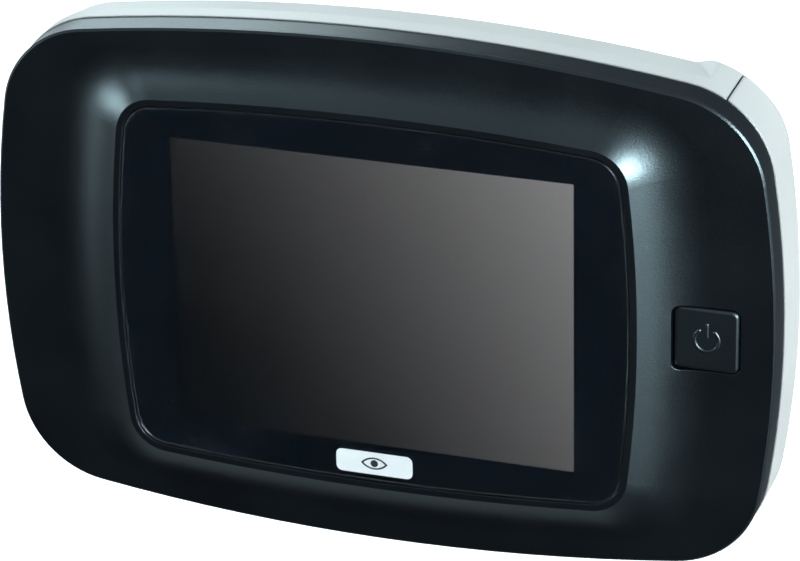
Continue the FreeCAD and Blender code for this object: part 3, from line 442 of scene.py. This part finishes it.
window = {"halfWidth": 41.2, "halfHeight": 30.5, "top": 433.0, "side": 208.0, "corner": 5.0,
          "front": -windowLow.y / mm, "rim": 0.28, "rimSteps": 5, "plateBack": 0.86,
          "inkFront": 0.89, "inkBack": 0.94, "inkInset": 0.12,
          "pictureWidth": 64.8, "pictureHeight": 48.6, "pictureCorner": 0.12,
          "ink": (0.0016, 0.0026, 0.0045), "inkSecond": (0.0022, 0.0034, 0.0056), "inkRoughness": 0.18,
          "clear": (0.975, 0.98, 0.99), "clearSecond": (0.995, 0.995, 1.0), "smear": 16,
          "roughness": (0.035, 0.05)}


def clearAcrylic():
    material = newMaterial("clearAcrylic", **{"IOR": 1.49, "Transmission Weight": 1.0})
    tree = material.node_tree
    smears = noise(tree, position(tree), window["smear"], detail=5.0, roughness=0.65)
    low, high = window["roughness"]
    wire(tree, spread(tree, smears, low, high, 0, 1), "Roughness")
    share = spread(tree, smears, 0, 1, 0, 1)
    wire(tree, blendColors(tree, share, window["clear"], window["clearSecond"]), "Base Color")
    return material


# patch, dot and depth are in millimetres
printing = {"patch": 5, "dot": 0.12, "roughnessSpan": 0.1, "relief": 0.1, "depth": 0.005}


# thin ink with faint patches of gloss and a fine grain of dots
def printedInk(name, first, second, rough):
    material = newMaterial(name)
    tree = material.node_tree
    blotches = noise(tree, position(tree), printing["patch"], detail=4.0)
    dots = noise(tree, position(tree), printing["dot"], detail=1.0)
    wire(tree, blendColors(tree, spread(tree, blotches, 0, 1), first, second), "Base Color")
    wire(tree, spread(tree, blotches, rough, rough + printing["roughnessSpan"]), "Roughness")
    wire(tree, bump(tree, dots, printing["relief"], printing["depth"]), "Normal")
    return material


# for each point of the outer ring, the point of the rectangle in the same direction
def spreadPoints(rectangle, outer):
    halfWidth = max(x for x, z in rectangle)
    halfHeight = max(z for x, z in rectangle)
    signs = ((1, 1), (1, -1), (-1, 1), (-1, -1))
    corners = [math.atan2(signZ * halfHeight, signX * halfWidth) for signX, signZ in signs]
    turns = [math.atan2(z, x) for x, z in outer]
    # the ray nearest to each corner is moved onto it, so the corners stay sharp
    moved = {}
    for corner in corners:
        gaps = [abs(turn - corner) for turn in turns]
        moved[gaps.index(min(gaps))] = corner
    points = []
    for index, turn in enumerate(turns):
        turn = moved.get(index, turn)
        across = max(abs(math.cos(turn)), tiny)
        upward = max(abs(math.sin(turn)), tiny)
        reach = min(halfWidth / across, halfHeight / upward)
        points.append((reach * math.cos(turn), reach * math.sin(turn)))
    return points


def buildWindow():
    mesh = bmesh.new()
    front = window["front"]
    rings = [atLevel(bowedOutline(window), front - window["plateBack"])]
    for inset, drop in roundedRim(window["rim"], window["rimSteps"]):
        rings.append(atLevel(bowedOutline(window, -inset), front - drop))
    stackRings(mesh, rings)
    plate = finishPiece("window_plate", mesh, "monitor", clearAcrylic())
    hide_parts("display_window")
    mesh = bmesh.new()
    outer = bowedOutline(window, -window["inkInset"])
    # the inner edge has as many points as the outer, so the band can be skinned
    picture = roundedRect(0, 0, window["pictureWidth"], window["pictureHeight"], window["pictureCorner"], 1)
    inner = spreadPoints(picture, outer)
    addBand(mesh, outer, inner, front - window["inkBack"], front - window["inkFront"])
    border = printedInk("borderInk", window["ink"], window["inkSecond"], window["inkRoughness"])
    finishPiece("window_border", mesh, "monitor", border)


buildWindow()


# screen: dark glass with a painted glow, a plain grey gradient

# the gains say how much the grey rises with each metre across and up
screen = {"width": 69.0, "height": 51.6, "corner": 0.5, "front": 21.15, "back": 19.51, "rim": 0.15,
          "rimSteps": 3, "middle": 0.239, "acrossGain": 5.45, "upGain": 3.22, "gamma": 2.2,
          "glass": (0.002, 0.002, 0.0025), "glassSecond": (0.003, 0.003, 0.004), "patch": 8,
          "roughness": (0.2, 0.28)}


# painted glow: an emitted grey that rises from the lower left to the upper right stands in for the light
# that lies on the switched-off screen
def screenPaintedGlow():
    material = newMaterial("screenPaintedGlow", **{"Emission Strength": 1.0})
    tree = material.node_tree
    place = addNode(tree, "TexCoord").outputs["Object"]
    axes = addNode(tree, "SeparateXYZ", {"Vector": place})
    inputs = {0: axes.outputs["X"], 1: screen["acrossGain"]}
    across = addNode(tree, "Math", inputs, operation="MULTIPLY").outputs[0]
    inputs = {0: axes.outputs["Z"], 1: screen["upGain"], 2: screen["middle"]}
    rising = addNode(tree, "Math", inputs, operation="MULTIPLY_ADD").outputs[0]
    tone = addNode(tree, "Math", {0: across, 1: rising}, operation="ADD", use_clamp=True).outputs[0]
    light = addNode(tree, "Math", {0: tone, 1: screen["gamma"]}, operation="POWER").outputs[0]
    grey = addNode(tree, "CombineColor", {0: light, 1: light, 2: light}).outputs["Color"]
    wire(tree, grey, "Emission Color")
    film = noise(tree, position(tree), screen["patch"], detail=4.0)
    share = spread(tree, film, 0, 1, 0, 1)
    wire(tree, blendColors(tree, share, screen["glass"], screen["glassSecond"]), "Base Color")
    low, high = screen["roughness"]
    wire(tree, spread(tree, film, low, high, 0, 1), "Roughness")
    return material


def buildScreen():
    mesh = bmesh.new()
    shape = (screen["width"], screen["height"])
    rings = [atLevel(roundedRect(0, 0, *shape, screen["corner"]), screen["back"])]
    for inset, drop in roundedRim(screen["rim"], screen["rimSteps"]):
        size = [side - 2 * inset for side in shape]
        rings.append(atLevel(roundedRect(0, 0, *size, screen["corner"] - inset), screen["front"] - drop))
    stackRings(mesh, rings)
    panel = finishPiece("screen_panel", mesh, "monitor", screenPaintedGlow())
    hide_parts("lcd_panel")


buildScreen()


# badge: a plain white label with an eye on it, printed on the window

badge = {"z": -27.35, "width": 12.6, "height": 3.9, "corner": 1.0, "proud": 0.02, "sunk": 0.002,
         "eyeWidth": 4.4, "eyeHeight": 2.1, "innerWidth": 3.568, "innerHeight": 1.58,
         "pupil": 0.62, "pupilPoints": 24, "roughness": 0.35,
         "white": (0.86, 0.88, 0.89), "whiteSecond": (0.9, 0.91, 0.92),
         "dark": (0.012, 0.018, 0.026), "darkSecond": (0.016, 0.022, 0.03)}


# two arcs that meet in points, like an eye seen from the front
def eyeOutline(width, height, steps=14):
    radius = (width ** 2 + height ** 2) / (4 * height)
    reach = math.asin(width / 2 / radius)
    quarter = math.pi / 2
    lift = radius - height / 2
    upper = arcPoints(0, badge["z"] - lift, radius, quarter - reach, quarter + reach, steps)
    lower = arcPoints(0, badge["z"] + lift, radius, -quarter - reach, -quarter + reach, steps)
    return upper + lower


def buildBadge():
    front = window["front"]
    mesh = bmesh.new()
    shape = roundedRect(0, badge["z"], badge["width"], badge["height"], badge["corner"])
    stackRings(mesh, [atLevel(shape, front), atLevel(shape, front + badge["proud"])])
    white = printedInk("badgeInk", badge["white"], badge["whiteSecond"], badge["roughness"])
    finishPiece("badge_label", mesh, "monitor", white)
    mesh = bmesh.new()
    near = front + badge["proud"] - badge["sunk"]
    far = front + 2 * badge["proud"]
    outer = eyeOutline(badge["eyeWidth"], badge["eyeHeight"])
    inner = eyeOutline(badge["innerWidth"], badge["innerHeight"])
    addBand(mesh, outer, inner, near, far)
    pupil = arcPoints(0, badge["z"], badge["pupil"], 0, 2 * math.pi, badge["pupilPoints"])
    stackRings(mesh, [atLevel(pupil, near), atLevel(pupil, far)])
    dark = printedInk("eyeInk", badge["dark"], badge["darkSecond"], badge["roughness"])
    finishPiece("badge_eye", mesh, "monitor", dark)


buildBadge()
print("window, screen and badge built")


# power button: a crowned cap with a raised mark

buttonLow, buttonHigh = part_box("power_button")
button = {"x": (buttonLow.x + buttonHigh.x) / 2 / mm, "width": 10.16, "height": 10.36, "corner": 1.08,
          "face": -buttonLow.y / mm, "rim": 0.5, "rimSteps": 6, "flange": 0.7, "flangeBack": 17.0,
          "flangeFront": 17.5, "pipRadius": 1.3, "pipPoints": 32, "pipBack": -buttonHigh.y / mm}
# the mark on the cap: a ring with a gap, in degrees to either side, and an upright bar
powerMark = {"ringX": 52.6, "ringRadius": 1.9, "ringPoints": 60, "gap": 27, "barX": 52.65, "barLow": 0.2,
             "barHigh": 2.9, "barPoints": 24, "width": 0.62, "height": 0.2, "sunk": 0.01,
             "tip": 0.05, "sharpAngle": 70}


# the cap's outline, moved outward by grow
def capOutline(grow):
    return roundedRect(button["x"], 0, button["width"] + 2 * grow, button["height"] + 2 * grow,
                       button["corner"] + grow)


def buildButton():
    mesh = bmesh.new()
    flange = capOutline(button["flange"])
    rings = [atLevel(flange, button["flangeBack"]), atLevel(flange, button["flangeFront"]),
             atLevel(capOutline(0), button["flangeFront"])]
    for inset, drop in roundedRim(button["rim"], button["rimSteps"]):
        rings.append(atLevel(capOutline(-inset), button["face"] - drop))
    stackRings(mesh, rings)
    pip = arcPoints(button["x"], 0, button["pipRadius"], 0, 2 * math.pi, button["pipPoints"])
    stackRings(mesh, [atLevel(pip, button["pipBack"]), atLevel(pip, button["flangeBack"])])
    cap = finishPiece("button_cap", mesh, "power_button", materials["button_plastic"])
    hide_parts("power_button")


# rounded ridge along a path on the cap, running out to a small tip at both ends
def addRidge(mesh, path, base, across=8):
    rings = []
    last = len(path) - 1
    half = powerMark["width"] / 2
    for index, point in enumerate(path):
        ahead = (Vector(path[min(index + 1, last)]) - Vector(path[max(index - 1, 0)])).normalized()
        sideways = Vector((-ahead.y, ahead.x))
        nearEnd = min(index, last - index) * (Vector(path[1]) - Vector(path[0])).length
        share = math.sqrt(max(0.0, 1 - max(0.0, 1 - nearEnd / half) ** 2))
        share = max(share, powerMark["tip"])
        ring = []
        for step in range(across + 1):
            turn = math.pi * step / across
            offset = sideways * (math.cos(turn) * half * share)
            level = base + powerMark["height"] * math.sin(turn) * share
            ring.append(Vector((point[0] + offset.x, -level, point[1] + offset.y)) * mm)
        rings.append(ring)
    stackRings(mesh, rings)


def buildPowerMark():
    mesh = bmesh.new()
    gap = math.radians(powerMark["gap"])
    base = button["face"] - powerMark["sunk"]
    ring = arcPoints(powerMark["ringX"], 0, powerMark["ringRadius"], math.pi / 2 + gap, 2.5 * math.pi - gap,
                     powerMark["ringPoints"])
    addRidge(mesh, ring, base)
    steps = powerMark["barPoints"]
    length = powerMark["barHigh"] - powerMark["barLow"]
    bar = [(powerMark["barX"], powerMark["barLow"] + length * step / steps) for step in range(steps + 1)]
    addRidge(mesh, bar, base)
    finishPiece("button_mark", mesh, "power_button", materials["button_plastic"],
                powerMark["sharpAngle"])


buildButton()
buildPowerMark()
print("power button built")


# batteries and their springs

# flatEnd: inset from the full radius and distance from the flat end
# studEnd: inset and distance from the tip of the stud; stud: radius and distance from its tip
battery = {"flatEnd": ((0.5, 0), (0.15, 0.15), (0, 0.5), (0, 1.1), (0.14, 1.3), (0, 1.5)),
           "studEnd": ((0, 2.0), (0.35, 1.8), (0, 1.6), (0, 1.2), (0.25, 0.95), (0.5, 0.9)),
           "stud": ((1.9, 1.02), (1.9, 0.15), (1.7, 0)), "hub": 0.0001, "facets": 48, "turned": 2,
           "capBand": 1.3, "bandEdge": 0.02, "stripeLow": 9.0, "stripeHigh": 12.0, "stripeEdge": 0.05,
           "wrap": (0.035, 0.075, 0.16), "wrapSecond": (0.05, 0.10, 0.20), "stripe": (0.55, 0.58, 0.60),
           "metal": (0.60, 0.60, 0.59), "patch": 7, "wrinkle": 0.8, "roughness": (0.24, 0.36),
           "relief": 0.15, "depth": 0.02, "sharpAngle": 40}


# shrink sleeve with a pale stripe; both ends are bare nickel-plated steel
def cellWrap():
    material = newMaterial("cellWrap", **{"Coat Weight": 0.4, "Coat Roughness": 0.12})
    tree = material.node_tree
    place = addNode(tree, "TexCoord").outputs["Object"]
    height = addNode(tree, "SeparateXYZ", {"Vector": place}).outputs["Z"]
    distance = addNode(tree, "Math", {0: height}, operation="ABSOLUTE").outputs[0]
    bareFrom = cellHalf - battery["capBand"] * mm
    edge = battery["bandEdge"] * mm
    bare = spread(tree, distance, 0, 1, bareFrom - edge, bareFrom + edge)
    low, high, edge = (battery[key] * mm for key in ("stripeLow", "stripeHigh", "stripeEdge"))
    stripeUp = spread(tree, height, 0, 1, low, low + edge)
    stripeDown = spread(tree, height, 1, 0, high, high + edge)
    stripe = addNode(tree, "Math", {0: stripeUp, 1: stripeDown}, operation="MULTIPLY").outputs[0]
    shade = noise(tree, position(tree), battery["patch"], detail=3.0)
    wrap = blendColors(tree, spread(tree, shade, 0, 1), battery["wrap"], battery["wrapSecond"])
    wrap = blendColors(tree, stripe, wrap, battery["stripe"])
    wire(tree, blendColors(tree, bare, wrap, battery["metal"]), "Base Color")
    wire(tree, bare, "Metallic")
    low, high = battery["roughness"]
    wire(tree, spread(tree, shade, low, high), "Roughness")
    wrinkles = noise(tree, position(tree), battery["wrinkle"], detail=3.0)
    wire(tree, bump(tree, wrinkles, battery["relief"], battery["depth"]), "Normal")
    return material


# half outline of a cell from its flat end to its stud, in metres
def cellProfile(low, high, radius, turned):
    length = high - low
    hub = battery["hub"] * mm
    steps = [(hub, 0)]
    steps += [(radius - inset * mm, rise * mm) for inset, rise in battery["flatEnd"]]
    steps += [(radius - inset * mm, length - drop * mm) for inset, drop in battery["studEnd"]]
    steps += [(reach * mm, length - drop * mm) for reach, drop in battery["stud"]]
    steps.append((hub, length))
    return [(reach, high - rise if turned else low + rise) for reach, rise in steps]


cellBoxes = [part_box(f"battery_{number}") for number in (1, 2, 3)]
cellHalf = max(abs(cellBoxes[0][0].z), abs(cellBoxes[0][1].z))
wrapMaterial = cellWrap()
for number, (low, high) in enumerate(cellBoxes, start=1):
    mesh = bmesh.new()
    centre = (low + high) / 2
    profile = cellProfile(low.z, high.z, (high.x - low.x) / 2, number == battery["turned"])
    lathe(mesh, centre.x, centre.y, profile, battery["facets"])
    cell = finishPiece(f"cell_{number}", mesh, "monitor", wrapMaterial, battery["sharpAngle"])
    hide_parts(f"battery_{number}")


spring = {"wire": 0.24, "bigRadius": 2.9, "smallRadius": 2.1, "turns": 3.5, "pointsPerTurn": 28, "ring": 8,
          "sharpAngle": 60}


# cone-shaped coil of wire between two heights
def addCoil(mesh, centre, start, end):
    count = int(spring["turns"] * spring["pointsPerTurn"])
    path = []
    for step in range(count + 1):
        share = step / count
        turn = 2 * math.pi * spring["turns"] * share
        radius = (spring["bigRadius"] + (spring["smallRadius"] - spring["bigRadius"]) * share) * mm
        path.append(Vector((centre.x + radius * math.cos(turn), centre.y + radius * math.sin(turn),
                            start + (end - start) * share)))
    rings = []
    for index, point in enumerate(path):
        ahead = (path[min(index + 1, count)] - path[max(index - 1, 0)]).normalized()
        outward = Vector((point.x - centre.x, point.y - centre.y, 0)).normalized()
        upward = ahead.cross(outward)
        turns = [2 * math.pi * step / spring["ring"] for step in range(spring["ring"])]
        rings.append([point + (outward * math.cos(turn) + upward * math.sin(turn)) * spring["wire"] * mm
                      for turn in turns])
    stackRings(mesh, rings)


springLow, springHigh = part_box("battery_springs")
mesh = bmesh.new()
for number, (low, high) in enumerate(cellBoxes, start=1):
    flat = 1 if number == battery["turned"] else -1
    wall = (springHigh.z if flat > 0 else -springLow.z) - spring["wire"] * mm
    cellEnd = (high.z if flat > 0 else -low.z) + spring["wire"] * mm
    addCoil(mesh, (low + high) / 2, flat * wall, flat * cellEnd)
coils = finishPiece("spring_coils", mesh, "monitor", materials["spring_steel"],
                    spring["sharpAngle"])
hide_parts("battery_springs")
print("batteries built")


# studio: a light tent with a dark opening in front, and softboxes

# above, below, behind and opening are brightnesses; heightRange and depthRange are where they change
# openFrom and openTo are in degrees from the opening's middle
studio = {"floorDrop": 250, "floorHalf": 6, "floorColor": (0.93, 0.93, 0.93), "floorGlow": 0.6,
          "floorSecond": (0.95, 0.95, 0.95), "fibre": 3, "floorRoughness": (0.8, 0.9),
          "above": 0.76, "below": 0.5, "heightRange": (-0.6, 0.1), "behind": 0.3, "depthRange": (0.2, 0.7),
          "opening": 0.0, "openingToward": (-0.34, -0.82, -0.46), "openFrom": 42, "openTo": 64,
          "daylight": (0.77, 0.95, 1.0), "boxDistance": 900}
# a box marked shine is only seen in reflections, one marked fill only lights matt surfaces
softboxes = {
    "rightBox": {"toward": (0.58, -0.78, 0.14), "size": (200, 300), "brightness": 125, "role": "shine"},
    "lowRightBox": {"toward": (0.60, -0.70, -0.30), "size": (200, 400), "brightness": 4, "role": "shine"},
    "cornerBox": {"toward": (0.44, -0.82, 0.35), "size": (170, 270), "brightness": 15, "role": "shine"},
    "edgeBox": {"toward": (0.80, -0.42, 0.28), "size": (110, 620), "brightness": 110, "role": "shine"},
    "leftBox": {"toward": (-0.87, -0.48, 0.07), "size": (230, 300), "brightness": 20, "role": "shine"},
    "lowLeftBox": {"toward": (-0.84, -0.48, -0.22), "size": (180, 260), "brightness": 3, "role": "shine"},
    "topLeftBox": {"toward": (-0.56, -0.68, 0.47), "size": (240, 240), "brightness": 4, "role": "shine"},
    "rearBox": {"toward": (-0.48, 0.78, 0.42), "size": (300, 400), "brightness": 3.8, "role": "shine"},
    "topFill": {"toward": (0.1, 0.6, 1.0), "size": (500, 500), "brightness": 8, "role": "fill"},
    "sideFill": {"toward": (1.0, 0.0, 0.2), "size": (500, 500), "brightness": 5.5, "role": "fill"},
    "backBox": {"toward": (-0.6, 0.75, -0.1), "size": (500, 500), "brightness": 1.1, "role": "both"},
}


def addFloor():
    half = studio["floorHalf"]
    data = bpy.data.meshes.new("floor")
    corners = [(-half, -half, 0), (half, -half, 0), (half, half, 0), (-half, half, 0)]
    data.from_pydata(corners, [], [(0, 1, 2, 3)])
    glow = {"Emission Color": (1, 1, 1, 1), "Emission Strength": studio["floorGlow"]}
    material = newMaterial("floorPaper", **glow)
    tree = material.node_tree
    fibres = noise(tree, position(tree), studio["fibre"], detail=4.0)
    share = spread(tree, fibres, 0, 1)
    wire(tree, blendColors(tree, share, studio["floorColor"], studio["floorSecond"]), "Base Color")
    low, high = studio["floorRoughness"]
    wire(tree, spread(tree, fibres, low, high), "Roughness")
    data.materials.append(material)
    floor = bpy.data.objects.new("floor", data)
    floor.location.z = -studio["floorDrop"] * mm
    floor.visible_glossy = False
    floor.visible_transmission = False
    bpy.context.scene.collection.objects.link(floor)


# the tent is darker below and behind, and fades out towards the opening
def addTent():
    world = bpy.data.worlds.new("tent")
    world.use_nodes = True
    tree = world.node_tree
    place = addNode(tree, "TexCoord").outputs["Generated"]
    axes = addNode(tree, "SeparateXYZ", {"Vector": place})
    tent = spread(tree, axes.outputs["Z"], studio["below"], studio["above"], *studio["heightRange"])
    behind = spread(tree, axes.outputs["Y"], 1, studio["behind"], *studio["depthRange"])
    tent = addNode(tree, "Math", {0: tent, 1: behind}, operation="MULTIPLY").outputs[0]
    toward = Vector(studio["openingToward"]).normalized()
    inputs = {0: place, 1: toward}
    facing = addNode(tree, "VectorMath", inputs, operation="DOT_PRODUCT").outputs["Value"]
    start, end = (math.cos(math.radians(studio[key])) for key in ("openTo", "openFrom"))
    inputs = {"Value": facing, "From Min": start, "From Max": end}
    share = addNode(tree, "MapRange", inputs, interpolation_type="SMOOTHSTEP").outputs["Result"]
    inputs = {"Value": share, "To Min": tent, "To Max": studio["opening"]}
    light = addNode(tree, "MapRange", inputs).outputs["Result"]
    tree.links.new(light, tree.nodes["Background"].inputs["Strength"])
    tree.nodes["Background"].inputs["Color"].default_value = (*studio["daylight"], 1)
    bpy.context.scene.world = world


def addSoftbox(name, box):
    data = bpy.data.lights.new(name, "AREA")
    data.shape = "RECTANGLE"
    data.size, data.size_y = (side * mm for side in box["size"])
    data.energy = box["brightness"] * math.pi * data.size * data.size_y
    data.color = studio["daylight"]
    lamp = bpy.data.objects.new(name, data)
    bpy.context.scene.collection.objects.link(lamp)
    lamp.location = Vector(box["toward"]).normalized() * studio["boxDistance"] * mm
    lamp.rotation_euler = (-lamp.location).to_track_quat("-Z", "Y").to_euler()
    lamp.visible_camera = False
    lamp.visible_diffuse = box["role"] != "shine"
    lamp.visible_glossy = box["role"] != "fill"


bpy.context.scene.view_settings.view_transform = "Standard"  # keeps the paper white
addFloor()
addTent()
for name, box in softboxes.items():
    addSoftbox(name, box)
print("studio ready")
